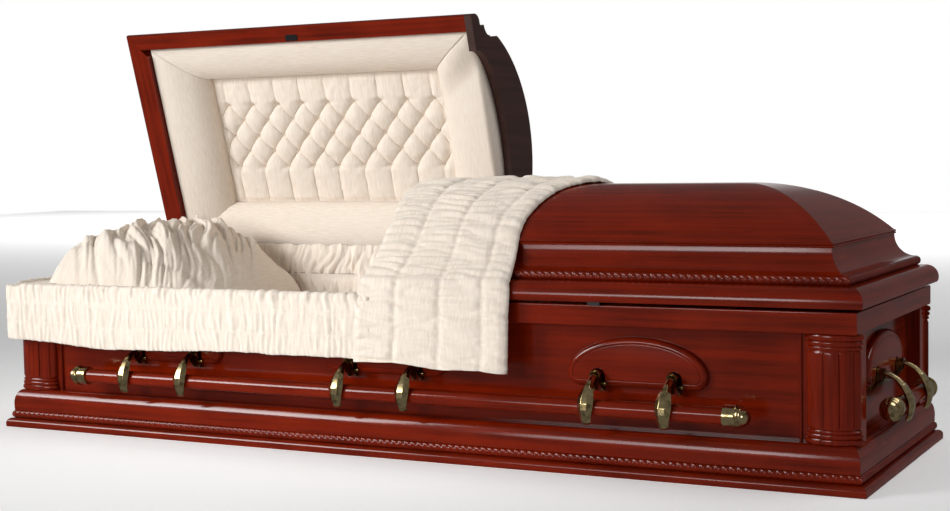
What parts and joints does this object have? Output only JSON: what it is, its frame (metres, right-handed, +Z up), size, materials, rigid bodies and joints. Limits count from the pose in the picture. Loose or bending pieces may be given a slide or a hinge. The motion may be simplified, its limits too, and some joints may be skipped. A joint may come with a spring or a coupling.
{
  "type": "funeral casket",
  "caption": "Half-couch wooden casket with hinged domed lids, one open on a tufted cream lining, and swing-bar handles on every side.",
  "frame": {"origin": "centre of the underside", "axes": "+X along the casket towards the foot end, -Y towards the front, +Z up"},
  "size_m": [2.1796, 0.839, 0.9868],
  "materials": {
    "stained_wood": "glossy dark red-brown stain",
    "plain_wood": "matt dark stain",
    "antique_brass": "polished, shaded in the hollows",
    "black_steel": "satin black",
    "cream_cloth": "matt woven cloth"
  },
  "bodies": {
    "casket_box": {"bottom_board": "plain_wood", "side_panel_front": "stained_wood", "side_panel_back": "stained_wood", "end_panel_head": "stained_wood", "end_panel_foot": "stained_wood", "base_moulding_front": "stained_wood", "base_moulding_back": "stained_wood", "base_moulding_head": "stained_wood", "base_moulding_foot": "stained_wood", "top_rail_front": "stained_wood", "top_rail_back": "stained_wood", "top_rail_head": "stained_wood", "top_rail_foot": "stained_wood", "corner_post_front_foot": "stained_wood", "corner_post_front_head": "stained_wood", "corner_post_back_foot": "stained_wood", "corner_post_back_head": "stained_wood", "handle_plaque_front_head": "stained_wood", "handle_plaque_front_middle": "stained_wood", "handle_plaque_front_foot": "stained_wood", "handle_plaque_back_head": "stained_wood", "handle_plaque_back_middle": "stained_wood", "handle_plaque_back_foot": "stained_wood", "handle_plaque_end_foot": "stained_wood", "handle_plaque_end_head": "stained_wood", "handle_bracket_front_head": "antique_brass", "handle_bracket_front_middle": "antique_brass", "handle_bracket_front_foot": "antique_brass", "handle_bracket_back_head": "antique_brass", "handle_bracket_back_middle": "antique_brass", "handle_bracket_back_foot": "antique_brass", "handle_bracket_end_foot": "antique_brass", "handle_bracket_end_head": "antique_brass", "lid_catch": "black_steel", "hinge_head": "antique_brass", "hinge_foot": "antique_brass", "body_lining": "cream_cloth", "mattress": "cream_cloth", "pillow": "cream_cloth", "rim_skirt": "cream_cloth", "lining_apron": "cream_cloth"},
    "head_lid": {"head_lid_crown": "stained_wood", "head_lid_rim_front": "stained_wood", "head_lid_rim_back": "stained_wood", "head_lid_rim_end": "stained_wood", "head_lid_header": "plain_wood", "head_lid_rolls": "cream_cloth", "head_lid_tufted_panel": "cream_cloth", "head_lid_strike": "black_steel"},
    "foot_lid": {"foot_lid_crown": "stained_wood", "foot_lid_rim_front": "stained_wood", "foot_lid_rim_back": "stained_wood", "foot_lid_rim_end": "stained_wood", "foot_lid_header": "plain_wood", "throw": "cream_cloth"},
    "handle_front": {"handle_front": "antique_brass"},
    "handle_back": {"handle_back": "antique_brass"},
    "handle_head": {"handle_head": "antique_brass"},
    "handle_foot": {"handle_foot": "antique_brass"}
  },
  "joints": [
    {"name": "head_lid_hinge", "type": "hinge", "parent": "casket_box", "child": "head_lid", "pos_m": [0, 0.3285, 0.3475], "axis": [1, 0, 0], "range_deg": [0, 73.7], "deforming": ["pillow", "lining_apron"]},
    {"name": "foot_lid_hinge", "type": "hinge", "parent": "casket_box", "child": "foot_lid", "pos_m": [0, 0.3285, 0.3475], "axis": [-1, 0, 0], "range_deg": [0, 73.7]},
    {"name": "front_handle_swing", "type": "hinge", "parent": "casket_box", "child": "handle_front", "pos_m": [0, -0.314, 0.2], "axis": [-1, 0, 0], "range_deg": [0, 55]},
    {"name": "back_handle_swing", "type": "hinge", "parent": "casket_box", "child": "handle_back", "pos_m": [0, 0.314, 0.2], "axis": [1, 0, 0], "range_deg": [0, 55]},
    {"name": "foot_handle_swing", "type": "hinge", "parent": "casket_box", "child": "handle_foot", "pos_m": [1.039, 0, 0.2], "axis": [0, -1, 0], "range_deg": [0, 55]},
    {"name": "head_handle_swing", "type": "hinge", "parent": "casket_box", "child": "handle_head", "pos_m": [-1.039, 0, 0.2], "axis": [0, 1, 0], "range_deg": [0, 55]}
  ]
}
